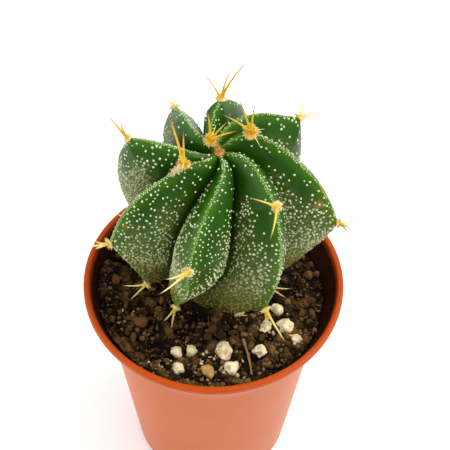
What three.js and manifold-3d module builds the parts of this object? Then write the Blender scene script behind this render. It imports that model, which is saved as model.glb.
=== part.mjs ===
// Potted star cactus: a ribbed, twisted stem with woolly areoles and spines,
// standing in gritty soil in a thin plastic nursery pot.
// Millimetres, +Z up. The origin is the centre of the pot's underside,
// and -Y is the side of the plant that faces the viewer.

import * as THREE from 'three';
import { mergeVertices } from 'three/addons/utils/BufferGeometryUtils.js';
import Module from 'manifold-3d';

const wasm = await Module();
wasm.setup();

// Clearance between pieces that touch
const GAP = 0.3;

// Pot
const POT_HEIGHT = 56;
const RIM_RADIUS = 27.5;
const LIP_WIDTH = 0.55;
const LIP_DEPTH = 1.6;
const LIP_ROUND = 0.5;
const BASE_RADIUS = 17.2;
const BASE_CHAMFER = 1.6;
const WALL = 0.8;
const FLOOR = 1.2;
const POT_SEGMENTS = 56;
const DRAIN_HOLES = 6;
const DRAIN_RADIUS = 1.9;
const DRAIN_CIRCLE = 11;

// The side is straight from the base up to the flare, where it turns out towards the lip.
// Without the flare it would have this radius at the lip.
const STRAIGHT_RADIUS = 24;
const FLARE_START = 45;
const FLARE_STEPS = 5;

// Soil
const SOIL_LEVEL = 50;
const SOIL_RINGS = 13;
const SOIL_SECTORS = 52;
const CRUMB_HEIGHT = 0.75;
const CRUMB_PITCH = 2.6;

// The soil is banked up against the wall on the left, and not on the right
const BANK_HEIGHT = 2.4;
const BANK_START = 20.8;
const BANK_END = 23.8;

// Stem: where it stands in the soil and how far its top leans over, in degrees
const STEM_X = 0.45;
const STEM_Y = 3.5;
const LEAN_X = -0.5;
const LEAN_Y = 4.5;
const NECK_DEPTH = 6;
const NECK_RADIUS = 5;

// Rib crest and groove between ribs, as radius and height above the soil from crown to neck
const CREST = [[0.6, 39.5], [7.8, 41.4], [15.1, 39.1], [20.7, 32.6],
  [21.1, 23.3], [15.9, 12.8], [9, 5.6], [6.9, 0.3]];
const GROOVE = [[0.3, 39.3], [3.9, 37.4], [7.6, 33.6], [11, 28],
  [12.6, 20.5], [10.9, 12.2], [7.8, 5.6], [6.5, 0.3]];

// Spiral of the ribs: degrees turned on the way down, as a cubic in the way travelled (0 to 1)
const TWIST = [296, -559, 369];

// Each rib's bearing in degrees at the crown, how far it stands out against the usual crest,
// and its own further turn low down
const RIBS = [
  { bearing: 218.5, reach: 0.95, lowTurn: 0 },
  { bearing: 263.5, reach: 0.99, lowTurn: -9 },
  { bearing: 311, reach: 1, lowTurn: 9 },
  { bearing: 359.5, reach: 1.01, lowTurn: 0 },
  { bearing: 401, reach: 1.06, lowTurn: -11 },
  { bearing: 452, reach: 0.98, lowTurn: -4 },
  { bearing: 486, reach: 0.9, lowTurn: 0 },
  { bearing: 531, reach: 0.8, lowTurn: 0 },
];

// The way at which a rib's own turn sets in, is complete, begins to fade and has gone
const LOW_TURN_WAYS = [0.55, 0.78, 0.8, 1];
const REACH_FADE = 0.45;

// The groove lies nearer to the next rib at the crown, and nearer to its own rib at the neck
const GROOVE_SHARE = 0.52;
const GROOVE_SHARE_RISE = 0.2;
const GROOVE_SHARE_FALL = 0.34;

// Flanks: a straight share near the crest, then a full shoulder that falls into the groove.
// The ribs are full near the crown and leaner lower down.
const FLANK_AHEAD = {
  high: { straight: 0.42, power: 5 },
  low: { straight: 0.85, power: 2.2 },
};
const FLANK_BEHIND = {
  high: { straight: 0.66, power: 4 },
  low: { straight: 0.8, power: 2.2 },
};
const LEAN_RIB_START = 0.25;
const LEAN_RIB_END = 0.8;
const CREST_ROUND = 0.05;

// The crest swells to a corner at each areole
const CORNER_HEIGHT = 2.4;
const CORNER_WIDTH = 0.073;

// Areoles: rib number, way travelled from crown to neck, wool radius, and spines as
// [lean from the outward direction, turn about it from down the crest, length]
const AREOLES = [
  { rib: 0, way: 0.327, wool: 0.9, spines: [[21, 150, 9], [37, 157, 7.5], [50, -60, 6]] },
  { rib: 0, way: 0.72, wool: 0.9, spines: [[40, 180, 8], [45, 70, 7], [45, -70, 7]] },
  { rib: 1, way: 0.164, wool: 1.2, spines: [[27, -112, 12.5], [19, -149, 9], [50, 40, 4]] },
  { rib: 1, way: 0.528, wool: 0.9, spines: [[58, 165, 7], [51, 149, 7], [40, -60, 6]] },
  { rib: 1, way: 0.745, wool: 0.8, spines: [[45, 150, 6], [50, -150, 6]] },
  { rib: 2, way: 0.447, wool: 1, spines: [[31, -124, 8], [23, -93, 10]] },
  { rib: 2, way: 0.765, wool: 0.8, spines: [[34, -5, 8], [36, -40, 7]] },
  { rib: 3, way: 0.312, wool: 1, spines: [[75, -132, 8], [68, -56, 9]] },
  { rib: 3, way: 0.68, wool: 0.9, spines: [[58, 0, 8], [31, 30, 10]] },
  { rib: 3, way: 0.8, wool: 0.8, spines: [[60, 10, 3.5], [60, 70, 3]] },
  { rib: 4, way: 0.125, wool: 1.7, spines: [[15, 125, 9], [13, 22, 8], [45, 163, 8.5],
    [59, -30, 4], [90, -76, 4.5]] },
  { rib: 4, way: 0.522, wool: 0.9, spines: [[64, -137, 7], [65, -124, 7], [45, 60, 6]] },
  { rib: 4, way: 0.84, wool: 0.8, spines: [[45, 160, 6], [45, -160, 6]] },
  { rib: 5, way: 0.405, wool: 0.9, spines: [[55, -1, 8], [77, -3, 6], [50, 60, 6]] },
  { rib: 5, way: 0.74, wool: 0.9, spines: [[40, 180, 8], [45, 80, 7]] },
  { rib: 6, way: 0.207, wool: 1, spines: [[16, -131, 8], [28, -95, 11], [45, 60, 6]] },
  { rib: 6, way: 0.6, wool: 0.9, spines: [[40, 170, 8], [45, 60, 7], [45, -70, 7]] },
  { rib: 7, way: 0.05, wool: 1.4, spines: [[30, -175, 8.5], [30, -15, 8.5], [22, -119, 7], [50, -80, 4]] },
  { rib: 7, way: 0.4, wool: 0.9, spines: [[56, -25, 6], [54, 2, 6]] },
  { rib: 7, way: 0.75, wool: 0.8, spines: [[45, 150, 6], [45, -150, 6]] },
];
const SPINE_RADIUS = 0.36;
const SPINE_ROOT = 0.9;
const SPINE_SIDES = 4;
const SPINE_BEND = 0.08;
const CROWN_WOOL = 1.5;
const WOOL_FLATNESS = 0.8;
const LARGE_WOOL = 1.1;

// Fineness of the stem's surface
const STEM_RINGS = 29;
const FIRST_WAY = 0.03;
const RIB_STEPS = [0, 0.08, 0.26, 0.42, 0.5, 0.58, 0.74, 0.92];

// Loose pieces lying half sunk in the soil: [x, y, half width, half length, turn in degrees]
const PUMICE = [
  [-7.4, -14.8, 1.3, 1.5, 10], [-7.1, -18.7, 1.2, 1.6, 5], [-4.6, -14.2, 0.9, 1.2, 20],
  [2.4, -14.6, 2, 2.3, 30], [4.3, -18.6, 1.4, 1.5, 50], [9.9, -14.5, 1.5, 1.6, 0],
  [15.2, -7.8, 1.5, 1.7, 40], [17.6, -11, 1, 1.2, 60], [11, -8.2, 1.2, 1.4, 15],
  [13.6, -3.6, 1.2, 1.3, 80], [-17, 8, 1.4, 1.6, 35], [-8.5, 18.5, 1.5, 1.7, 70],
  [6.5, 20, 1.3, 1.6, 20], [17.5, 11, 1.5, 1.8, 55],
];
const BARK = [
  [-0.9, -19.4, 1, 1.9, 20], [-14.8, -7.4, 1.1, 1.6, 60],
  [-21.4, 3.4, 1, 1.5, 15], [20.6, 5.4, 0.9, 1.5, 75],
];
const GRAIN_SINK = 0.35;
const GRAIN_FLATNESS = 0.85;
const GRAIN_ROUGHNESS = 0.07;
const BARK_FLATNESS = 0.6;
const STRAW_START = [6.4, -11.6];
const STRAW_END = [8.2, -20.2];
const STRAW_RADIUS = 0.35;
const STRAW_SINK = 0.05;

const radians = THREE.MathUtils.degToRad;

// A solid for joining and cutting, from a closed geometry
function solidOf(geometry) {
  const bare = geometry.clone();
  bare.deleteAttribute('normal');
  bare.deleteAttribute('uv');
  const merged = mergeVertices(bare, 1e-5);
  const vertProperties = new Float32Array(merged.attributes.position.array);
  const triVerts = new Uint32Array(merged.index.array);
  return new wasm.Manifold(new wasm.Mesh({ numProp: 3, vertProperties, triVerts }));
}

// The geometry of a joined or cut solid
function geometryOf(solid) {
  const mesh = solid.getMesh();
  const geometry = new THREE.BufferGeometry();
  geometry.setAttribute('position', new THREE.BufferAttribute(new Float32Array(mesh.vertProperties), 3));
  geometry.setIndex(new THREE.BufferAttribute(new Uint32Array(mesh.triVerts), 1));
  geometry.computeVertexNormals();
  return geometry;
}

// One body from many: hollows sealed by the joining are filled and loose scraps are dropped
function joined(solids) {
  const bodies = solids.reduce((whole, piece) => whole.add(piece)).decompose();
  return bodies.reduce((largest, body) => (body.volume() > largest.volume() ? body : largest));
}

function named(name, geometry, color, roughness) {
  const material = new THREE.MeshStandardMaterial({ color, roughness, metalness: 0 });
  const mesh = new THREE.Mesh(geometry, material);
  mesh.name = name;
  return mesh;
}

// A closed skin over rings of equally many points, with a fan to a point at each end.
// Looking from the first end to the last, the points run clockwise.
function skin(rings, first, last) {
  const count = rings[0].length;
  const points = [first, ...rings.flat(), last];
  const faces = [];
  const at = (ring, step) => 1 + ring * count + (step % count);
  for (let step = 0; step < count; step += 1) {
    faces.push(0, at(0, step), at(0, step + 1));
    for (let ring = 0; ring + 1 < rings.length; ring += 1) {
      faces.push(at(ring, step), at(ring + 1, step), at(ring, step + 1));
      faces.push(at(ring, step + 1), at(ring + 1, step), at(ring + 1, step + 1));
    }
    faces.push(points.length - 1, at(rings.length - 1, step + 1), at(rings.length - 1, step));
  }
  const geometry = new THREE.BufferGeometry().setFromPoints(points);
  geometry.setIndex(faces);
  return geometry;
}

// Even, repeatable noise from -1 to 1 at a lattice point, and smooth noise between such points
function latticeNoise(column, row, seed) {
  const wave = Math.sin(column * 127.1 + row * 311.7 + seed * 74.7) * 43758.5453;
  return 2 * (wave - Math.floor(wave)) - 1;
}

function smoothNoise(x, y, seed) {
  const column = Math.floor(x);
  const row = Math.floor(y);
  const acrossX = THREE.MathUtils.smoothstep(x - column, 0, 1);
  const acrossY = THREE.MathUtils.smoothstep(y - row, 0, 1);
  const near = THREE.MathUtils.lerp(
    latticeNoise(column, row, seed), latticeNoise(column + 1, row, seed), acrossX);
  const far = THREE.MathUtils.lerp(
    latticeNoise(column, row + 1, seed), latticeNoise(column + 1, row + 1, seed), acrossX);
  return THREE.MathUtils.lerp(near, far, acrossY);
}

// Outline of the stem

const crestCurve = new THREE.SplineCurve(CREST.map(([r, z]) => new THREE.Vector2(r, z)));
const grooveCurve = new THREE.SplineCurve(GROOVE.map(([r, z]) => new THREE.Vector2(r, z)));

// A rib's bearing in degrees at a point of the way
function ribBearing(rib, way) {
  const twist = TWIST[0] * way + TWIST[1] * way ** 2 + TWIST[2] * way ** 3;
  const [start, full, fade, end] = LOW_TURN_WAYS;
  const low = THREE.MathUtils.smoothstep(way, start, full) * (1 - THREE.MathUtils.smoothstep(way, fade, end));
  return RIBS[rib].bearing - twist - RIBS[rib].lowTurn * low;
}

// How much of the crest's height over the groove is left at a share of the flank's width
function flankShape(share, way, { high, low }) {
  const lean = THREE.MathUtils.smoothstep(way, LEAN_RIB_START, LEAN_RIB_END);
  const straight = THREE.MathUtils.lerp(high.straight, low.straight, lean);
  const power = THREE.MathUtils.lerp(high.power, low.power, lean);
  const round = (x) => Math.sqrt(x * x + CREST_ROUND ** 2) - CREST_ROUND;
  const across = round(share) / round(1);
  return 1 - straight * across - (1 - straight) * across ** power;
}

// The crest of one rib, with its corners at the areoles, in the plane through the plant's axis
function crestPoint(rib, way) {
  const point = crestCurve.getPoint(way);
  const along = crestCurve.getPoint(Math.min(way + 0.01, 1));
  along.sub(crestCurve.getPoint(Math.max(way - 0.01, 0))).normalize();
  const outward = new THREE.Vector2(-along.y, along.x);
  const reachShare = THREE.MathUtils.clamp((1 - way) / REACH_FADE, 0, 1);
  point.x *= 1 + (RIBS[rib].reach - 1) * reachShare;
  for (const areole of AREOLES.filter((each) => each.rib === rib)) {
    const distance = Math.abs(way - areole.way) / CORNER_WIDTH;
    point.addScaledVector(outward, CORNER_HEIGHT * Math.exp(-distance));
  }
  return { point, along, outward };
}

// From radius, height over the soil and bearing to a place in the leaning plant
function placed(radius, height, bearing) {
  const x = STEM_X + radius * Math.cos(bearing) + radians(LEAN_X) * Math.max(height, 0);
  const y = STEM_Y + radius * Math.sin(bearing) + radians(LEAN_Y) * Math.max(height, 0);
  return new THREE.Vector3(x, y, SOIL_LEVEL + height);
}

// A point of the stem's surface, a share of the way round from one rib's crest to the next
function stemPoint(rib, share, way) {
  const next = (rib + 1) % RIBS.length;
  const own = ribBearing(rib, way);
  const gap = ribBearing(next, way) + (next === 0 ? 360 : 0) - own;
  const rise = THREE.MathUtils.clamp(1 - 2 * way, 0, 1);
  const fall = THREE.MathUtils.smoothstep(way, 0.5, 0.8);
  const grooveShare = GROOVE_SHARE + GROOVE_SHARE_RISE * rise - GROOVE_SHARE_FALL * fall;
  const ahead = share < 0.5;
  const across = ahead ? 2 * share : 2 - 2 * share;
  const turned = ahead ? across * grooveShare : 1 - across * (1 - grooveShare);
  const bearing = radians(own + gap * turned);
  const crest = crestPoint(ahead ? rib : next, way).point;
  const fill = flankShape(across, way, ahead ? FLANK_AHEAD : FLANK_BEHIND);
  const point = grooveCurve.getPoint(way).lerp(crest, fill);
  return placed(point.x, point.y, bearing);
}

function stemSolid() {
  const rings = [];
  for (let ring = 0; ring < STEM_RINGS; ring += 1) {
    const way = THREE.MathUtils.lerp(FIRST_WAY, 1, ring / (STEM_RINGS - 1));
    const points = [];
    for (let rib = 0; rib < RIBS.length; rib += 1) {
      for (const share of RIB_STEPS) {
        points.push(stemPoint(rib, share, way));
      }
    }
    rings.push(points);
  }
  const neck = rings[rings.length - 1].map((point) => {
    const bearing = Math.atan2(point.y - STEM_Y, point.x - STEM_X);
    return placed(NECK_RADIUS, -NECK_DEPTH, bearing);
  });
  rings.push(neck);
  const crown = placed(0, CREST[0][1], 0);
  return solidOf(skin(rings, crown, placed(0, -NECK_DEPTH, 0)));
}

// Areoles and spines

// An areole's place, with its outward, down-the-crest and sideways directions
function areoleFrame({ rib, way }) {
  const { point, along, outward } = crestPoint(rib, way);
  const bearing = radians(ribBearing(rib, way));
  const away = new THREE.Vector3(Math.cos(bearing), Math.sin(bearing), 0);
  const lift = (flat) => away.clone().multiplyScalar(flat.x).setZ(flat.y);
  const side = new THREE.Vector3(-Math.sin(bearing), Math.cos(bearing), 0);
  return { place: placed(point.x, point.y, bearing), out: lift(outward), down: lift(along), side };
}

function woolSolid(place, out, radius) {
  const wool = new THREE.IcosahedronGeometry(radius, radius > LARGE_WOOL ? 1 : 0);
  wool.scale(1, 1, WOOL_FLATNESS);
  const turn = new THREE.Quaternion().setFromUnitVectors(new THREE.Vector3(0, 0, 1), out);
  wool.applyQuaternion(turn);
  wool.translate(place.x, place.y, place.z);
  return solidOf(wool);
}

// A tapered spine with a slight bend, its root sunk into the wool
function spineSolid(frame, [lean, turn, length]) {
  const sideways = frame.down.clone().multiplyScalar(Math.cos(radians(turn)));
  sideways.addScaledVector(frame.side, Math.sin(radians(turn)));
  const along = frame.out.clone().multiplyScalar(Math.cos(radians(lean)));
  along.addScaledVector(sideways, Math.sin(radians(lean)));
  const flat = new THREE.Vector3().crossVectors(along, frame.side).normalize();
  const cross = new THREE.Vector3().crossVectors(flat, along);
  const middle = (share) => {
    const bend = SPINE_BEND * length * Math.sin(Math.PI * Math.max(share, 0));
    return frame.place.clone().addScaledVector(along, share * length).addScaledVector(frame.out, bend);
  };
  const ring = (share, radius) => Array.from({ length: SPINE_SIDES }, (_, step) => {
    const angle = (2 * Math.PI * step) / SPINE_SIDES;
    const point = middle(share).addScaledVector(flat, radius * Math.cos(angle));
    return point.addScaledVector(cross, radius * Math.sin(angle));
  });
  const root = -SPINE_ROOT / length;
  const rings = [ring(root, SPINE_RADIUS), ring(0.5, 0.7 * SPINE_RADIUS)];
  return solidOf(skin(rings, middle(root), middle(1)));
}

function cactusGeometry() {
  const solids = [stemSolid()];
  const crown = placed(0, CREST[0][1], 0);
  solids.push(woolSolid(crown, new THREE.Vector3(0, 0, 1), CROWN_WOOL));
  for (const areole of AREOLES) {
    const frame = areoleFrame(areole);
    solids.push(woolSolid(frame.place, frame.out, areole.wool));
    for (const spine of areole.spines) {
      solids.push(spineSolid(frame, spine));
    }
  }
  return geometryOf(joined(solids));
}

// Pot

// The pot's outer radius at a height between base and lip
function wallRadius(height) {
  const flare = RIM_RADIUS - LIP_WIDTH - STRAIGHT_RADIUS;
  const straight = THREE.MathUtils.lerp(BASE_RADIUS, STRAIGHT_RADIUS, height / POT_HEIGHT);
  return straight + flare * THREE.MathUtils.smoothstep(height, FLARE_START, POT_HEIGHT);
}

// Heights at which a side that follows the flare has a ring, from its start up to a top
function flareHeights(top) {
  return Array.from({ length: FLARE_STEPS + 1 }, (_, step) => (
    THREE.MathUtils.lerp(FLARE_START, top, step / FLARE_STEPS)));
}

function potGeometry() {
  const lipFoot = POT_HEIGHT - LIP_DEPTH;
  const inner = flareHeights(POT_HEIGHT - LIP_ROUND).reverse();
  const outline = [
    [0, 0],
    [BASE_RADIUS - BASE_CHAMFER, 0],
    [wallRadius(BASE_CHAMFER), BASE_CHAMFER],
    ...flareHeights(lipFoot).map((height) => [wallRadius(height), height]),
    [RIM_RADIUS - LIP_ROUND, lipFoot],
    [RIM_RADIUS, lipFoot + LIP_ROUND],
    [RIM_RADIUS, POT_HEIGHT - LIP_ROUND],
    [RIM_RADIUS - LIP_ROUND, POT_HEIGHT],
    [wallRadius(POT_HEIGHT) - WALL + LIP_ROUND, POT_HEIGHT],
    ...inner.map((height) => [wallRadius(height) - WALL, height]),
    [wallRadius(FLOOR) - WALL, FLOOR],
    [0, FLOOR],
  ];
  const turned = new THREE.LatheGeometry(outline.map(([r, z]) => new THREE.Vector2(r, z)), POT_SEGMENTS);
  turned.rotateX(Math.PI / 2);
  let solid = solidOf(turned);
  for (let hole = 0; hole < DRAIN_HOLES; hole += 1) {
    const bearing = (2 * Math.PI * hole) / DRAIN_HOLES;
    const drill = new THREE.CylinderGeometry(DRAIN_RADIUS, DRAIN_RADIUS, 4 * FLOOR, 16);
    drill.rotateX(Math.PI / 2);
    drill.translate(DRAIN_CIRCLE * Math.cos(bearing), DRAIN_CIRCLE * Math.sin(bearing), 0);
    solid = solid.subtract(solidOf(drill));
  }
  return geometryOf(solid);
}

// Loose pieces in the soil

// How much of the bank's height the soil has on the side where a place lies
function bankShare(x, y) {
  return 0.5 - 0.5 * (x / Math.max(Math.hypot(x, y), 1));
}

// The level of the soil without its crumbs
function soilLevel(x, y) {
  const rise = THREE.MathUtils.smoothstep(Math.hypot(x, y), BANK_START, BANK_END);
  return SOIL_LEVEL + BANK_HEIGHT * bankShare(x, y) * rise;
}

// The height of the soil's crumbly surface, calm near the stem
function soilHeight(x, y) {
  const fromStem = Math.hypot(x - STEM_X, y - STEM_Y);
  const calm = THREE.MathUtils.smoothstep(fromStem, CREST[7][0], CREST[7][0] + 4);
  const coarse = smoothNoise(x / CRUMB_PITCH, y / CRUMB_PITCH, 1);
  const fine = smoothNoise((2 * x) / CRUMB_PITCH, (2 * y) / CRUMB_PITCH, 2);
  return soilLevel(x, y) + CRUMB_HEIGHT * calm * (coarse + 0.5 * fine);
}

// An uneven lump; grow adds to every half size, so that a lump's pit is the same shape
function lump([x, y, halfWidth, halfLength, turn], flatness, seed, grow) {
  const stone = mergeVertices(new THREE.IcosahedronGeometry(1, 1).deleteAttribute('normal').deleteAttribute('uv'));
  const place = stone.attributes.position;
  const point = new THREE.Vector3();
  for (let index = 0; index < place.count; index += 1) {
    point.fromBufferAttribute(place, index);
    point.multiplyScalar(1 + GRAIN_ROUGHNESS * latticeNoise(index, seed, 3));
    place.setXYZ(index, point.x, point.y, point.z);
  }
  stone.scale(halfWidth + grow, halfLength + grow, halfWidth * flatness + grow);
  stone.rotateZ(radians(turn));
  stone.translate(x, y, soilLevel(x, y) + GRAIN_SINK * halfWidth);
  return stone;
}

function strawGeometry(grow) {
  const [startX, startY] = STRAW_START;
  const [endX, endY] = STRAW_END;
  const length = Math.hypot(endX - startX, endY - startY);
  const straw = new THREE.CylinderGeometry(
    0.6 * STRAW_RADIUS + grow, STRAW_RADIUS + grow, length + 2 * grow, 8);
  straw.rotateZ(Math.atan2(endY - startY, endX - startX) - Math.PI / 2);
  straw.translate((startX + endX) / 2, (startY + endY) / 2, SOIL_LEVEL + CRUMB_HEIGHT + STRAW_SINK);
  return straw;
}

function soilGeometry() {
  // A ring of points; shape gives the radius and height in a direction
  const ringOf = (shape) => Array.from({ length: SOIL_SECTORS }, (_, sector) => {
    const bearing = (2 * Math.PI * sector) / SOIL_SECTORS;
    const away = new THREE.Vector2(Math.cos(bearing), Math.sin(bearing));
    const { radius, height } = shape(away);
    return new THREE.Vector3(radius * away.x, radius * away.y, height);
  });
  const sideRadius = (height) => wallRadius(height) - WALL - GAP;
  const edgeHeight = (away) => SOIL_LEVEL - CRUMB_HEIGHT + BANK_HEIGHT * bankShare(away.x, away.y);
  const rings = [];
  for (let ring = 1; ring < SOIL_RINGS; ring += 1) {
    rings.push(ringOf((away) => {
      const radius = (sideRadius(edgeHeight(away)) * ring) / SOIL_RINGS;
      return { radius, height: soilHeight(radius * away.x, radius * away.y) };
    }));
  }
  for (let step = FLARE_STEPS; step >= 0; step -= 1) {
    rings.push(ringOf((away) => {
      const height = flareHeights(edgeHeight(away))[step];
      return { radius: sideRadius(height), height };
    }));
  }
  const footHeight = FLOOR + GAP;
  rings.push(ringOf(() => ({ radius: sideRadius(footHeight), height: footHeight })));
  const centre = new THREE.Vector3(0, 0, soilHeight(0, 0));
  let solid = solidOf(skin(rings, centre, new THREE.Vector3(0, 0, footHeight)));

  const hole = new THREE.LatheGeometry([
    new THREE.Vector2(0, -NECK_DEPTH - GAP),
    new THREE.Vector2(NECK_RADIUS + 2 * GAP, -NECK_DEPTH - GAP),
    new THREE.Vector2(CREST[7][0] + 2 * GAP, CREST[7][1]),
    new THREE.Vector2(CREST[7][0] + 2 * GAP, 3),
    new THREE.Vector2(0, 3),
  ], 48);
  hole.rotateX(Math.PI / 2);
  hole.translate(STEM_X, STEM_Y, SOIL_LEVEL);
  solid = solid.subtract(solidOf(hole));
  PUMICE.forEach((grain, index) => {
    solid = solid.subtract(solidOf(lump(grain, GRAIN_FLATNESS, index, GAP)));
  });
  BARK.forEach((chip, index) => {
    solid = solid.subtract(solidOf(lump(chip, BARK_FLATNESS, 50 + index, GAP)));
  });
  return geometryOf(solid.subtract(solidOf(strawGeometry(GAP))));
}

const plant = new THREE.Group();
plant.add(named('pot', potGeometry(), 0xd2571e, 0.4));
plant.add(named('soil', soilGeometry(), 0x1c120a, 0.95));
plant.add(named('cactus', cactusGeometry(), 0x1d4a12, 0.45));
PUMICE.forEach((grain, index) => {
  const name = `pumice_grain_${String(index + 1).padStart(2, '0')}`;
  plant.add(named(name, lump(grain, GRAIN_FLATNESS, index, 0), 0xd9cdb0, 0.9));
});
BARK.forEach((chip, index) => {
  plant.add(named(`bark_chip_${index + 1}`, lump(chip, BARK_FLATNESS, 50 + index, 0), 0x9a6a35, 0.85));
});
plant.add(named('straw', strawGeometry(0), 0xa5853f, 0.8));

export default plant;
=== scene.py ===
import math

import bpy
import numpy as np
from mathutils import Matrix, Vector, kdtree


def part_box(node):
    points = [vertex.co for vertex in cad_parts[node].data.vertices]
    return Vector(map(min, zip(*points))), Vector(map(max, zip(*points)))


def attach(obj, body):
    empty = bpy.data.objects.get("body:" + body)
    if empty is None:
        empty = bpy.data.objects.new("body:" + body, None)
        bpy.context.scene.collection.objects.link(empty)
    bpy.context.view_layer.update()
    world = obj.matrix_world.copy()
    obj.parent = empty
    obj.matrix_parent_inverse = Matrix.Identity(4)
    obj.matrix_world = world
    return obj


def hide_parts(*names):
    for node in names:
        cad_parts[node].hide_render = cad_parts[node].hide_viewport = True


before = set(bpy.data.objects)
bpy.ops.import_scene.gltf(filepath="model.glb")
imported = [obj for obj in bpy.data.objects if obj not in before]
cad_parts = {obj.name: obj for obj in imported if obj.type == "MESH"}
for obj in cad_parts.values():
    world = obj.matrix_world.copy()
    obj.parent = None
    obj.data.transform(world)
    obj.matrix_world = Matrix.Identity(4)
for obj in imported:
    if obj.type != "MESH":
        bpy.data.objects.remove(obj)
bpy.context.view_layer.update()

# Sizes are in millimetres, as in the part's source, until a mesh is made
MM = 0.001
SEED = 11

# Pot
POT_HEIGHT = 56.0
RIM_RADIUS = 27.5
LIP_WIDTH = 0.55
LIP_DEPTH = 1.6
LIP_FOOT = POT_HEIGHT - LIP_DEPTH
LIP_ROUND = 0.5
FOOT_ROUND = 1.6
BASE_RADIUS = 17.2
STRAIGHT_RADIUS = 24.0
FLARE_START = 45.0
WALL = 0.8
FLOOR = 1.2
DRAIN_HOLES = 6
DRAIN_RADIUS = 1.9
DRAIN_CIRCLE = 11.0
# Keeps the edges of the drills off those of the pot, which a cut between them needs
DRILL_TURN = 0.01
# Rings of points on the floor, inside and outside the circle of drain holes
FLOOR_RINGS = (2.0, 5.0, 8.5, 13.5)

# Soil; layers of lumps are given as height, pitch and seed
SOIL_LEVEL = 50.0
CRUMB_HEIGHT = 0.75
SOIL_LUMPS = ((1.0, 2.6, 51), (0.6, 1.3, 52), (0.45, 0.8, 53), (0.25, 0.4, 54))
BANK_HEIGHT = 2.4
BANK_START = 20.8
BANK_END = 23.8
SOIL_FOOT = FLOOR + 0.3
SOIL_GAP = 0.2

# Stem
STEM_X = 0.45
STEM_Y = 3.5
LEAN_X = -0.5
LEAN_Y = 4.5
NECK_DEPTH = 6.0
NECK_RADIUS = 5.0
HOLE_DEPTH = NECK_DEPTH + 0.3
HOLE_RADIUS = NECK_RADIUS + 0.6
# The curves of crest and groove from crown to neck, as radius and height over the soil
CREST = np.array([[0.6, 39.5], [7.8, 41.4], [15.1, 39.1], [20.7, 32.6],
                  [21.1, 23.3], [15.9, 12.8], [9.0, 5.6], [6.9, 0.3]])
GROOVE = np.array([[0.3, 39.3], [3.9, 37.4], [7.6, 33.6], [11.0, 28.0],
                   [12.6, 20.5], [10.9, 12.2], [7.8, 5.6], [6.5, 0.3]])
# Degrees that the ribs turn, for the first three powers of the way from crown to neck
TWIST = (296.0, -559.0, 369.0)
# For each rib its bearing at the crown, how far it reaches, and a further turn low down, with the
# ways at which that turn starts, is full, fades and has ended
BEARINGS = np.array([218.5, 263.5, 311.0, 359.5, 401.0, 452.0, 486.0, 531.0])
REACHES = np.array([0.95, 0.99, 1.0, 1.01, 1.06, 0.98, 0.9, 0.8])
LOW_TURNS = np.array([0.0, -9.0, 9.0, 0.0, -11.0, -4.0, 0.0, 0.0])
LOW_TURN_WAYS = (0.55, 0.78, 0.8, 1.0)
REACH_FADE = 0.45
# Where the groove lies between two crests, and how that shifts near the crown and low down
GROOVE_SHARE = 0.52
GROOVE_SHARE_RISE = 0.2
GROOVE_SHARE_FALL = 0.34
# A flank's fullness ahead of a crest and behind one: its straight share and the power of the rest
FLANK_AHEAD = (0.42, 5.0)
FLANK_BEHIND = (0.66, 4.0)
LOW_FLANK_AHEAD = (0.85, 2.2)
LOW_FLANK_BEHIND = (0.8, 2.2)
LEAN_RIB_START = 0.25
LEAN_RIB_END = 0.8
CREST_ROUND = 0.05
STEM_LUMPS = ((0.1, 4.5, 1), (0.03, 1.2, 2))
# How a crest rises to each of its areoles
CORNER_HEIGHT = 2.4
CORNER_WIDTH = 0.073
RIBS = len(BEARINGS)
# The crest's radius at the soil
STEM_FOOT = CREST[-1][0]

# Areoles: rib, way from crown to neck, wool radius, spines as (lean, turn, length)
AREOLES = [
    (0, 0.327, 0.9, [(21, 150, 9), (37, 157, 7.5), (50, -60, 6)]),
    (0, 0.72, 0.9, [(40, 180, 8), (45, 70, 7), (45, -70, 7)]),
    (1, 0.164, 1.2, [(27, -112, 12.5), (19, -149, 9), (50, 40, 4)]),
    (1, 0.528, 0.9, [(58, 165, 7), (51, 149, 7), (40, -60, 6)]),
    (1, 0.745, 0.8, [(45, 150, 6), (50, -150, 6)]),
    (2, 0.447, 1.0, [(31, -124, 8), (23, -93, 10)]),
    (2, 0.765, 0.8, [(34, -5, 8), (36, -40, 7)]),
    (3, 0.312, 1.0, [(75, -132, 8), (68, -56, 9)]),
    (3, 0.68, 0.9, [(58, 0, 8), (31, 30, 10)]),
    (3, 0.8, 0.8, [(60, 10, 3.5), (60, 70, 3)]),
    (4, 0.125, 1.7, [(15, 125, 9), (13, 22, 8), (45, 163, 8.5), (59, -30, 4), (90, -76, 4.5)]),
    (4, 0.522, 0.9, [(64, -137, 7), (65, -124, 7), (45, 60, 6)]),
    (4, 0.84, 0.8, [(45, 160, 6), (45, -160, 6)]),
    (5, 0.405, 0.9, [(55, -1, 8), (77, -3, 6), (50, 60, 6)]),
    (5, 0.74, 0.9, [(40, 180, 8), (45, 80, 7)]),
    (6, 0.207, 1.0, [(16, -131, 8), (28, -95, 11), (45, 60, 6)]),
    (6, 0.6, 0.9, [(40, 170, 8), (45, 60, 7), (45, -70, 7)]),
    (7, 0.05, 1.4, [(30, -175, 8.5), (30, -15, 8.5), (22, -119, 7), (50, -80, 4)]),
    (7, 0.4, 0.9, [(56, -25, 6), (54, 2, 6)]),
    (7, 0.75, 0.8, [(45, 150, 6), (45, -150, 6)]),
]
# Radii at a spine's middle and at its thickened root, and how deep the root is sunk
SPINE_RADIUS = 0.26
SPINE_ROOT_RADIUS = 0.24
SPINE_ROOT_SHARE = 0.17
SPINE_SUNK = 0.6
SPINE_BEND = 0.08
# Shorter spines are thin and pale, and wider pads of wool are young
PALE_SPINE = 5.0
YOUNG_WOOL = 1.15
PAD_HEIGHT = 0.5
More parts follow.
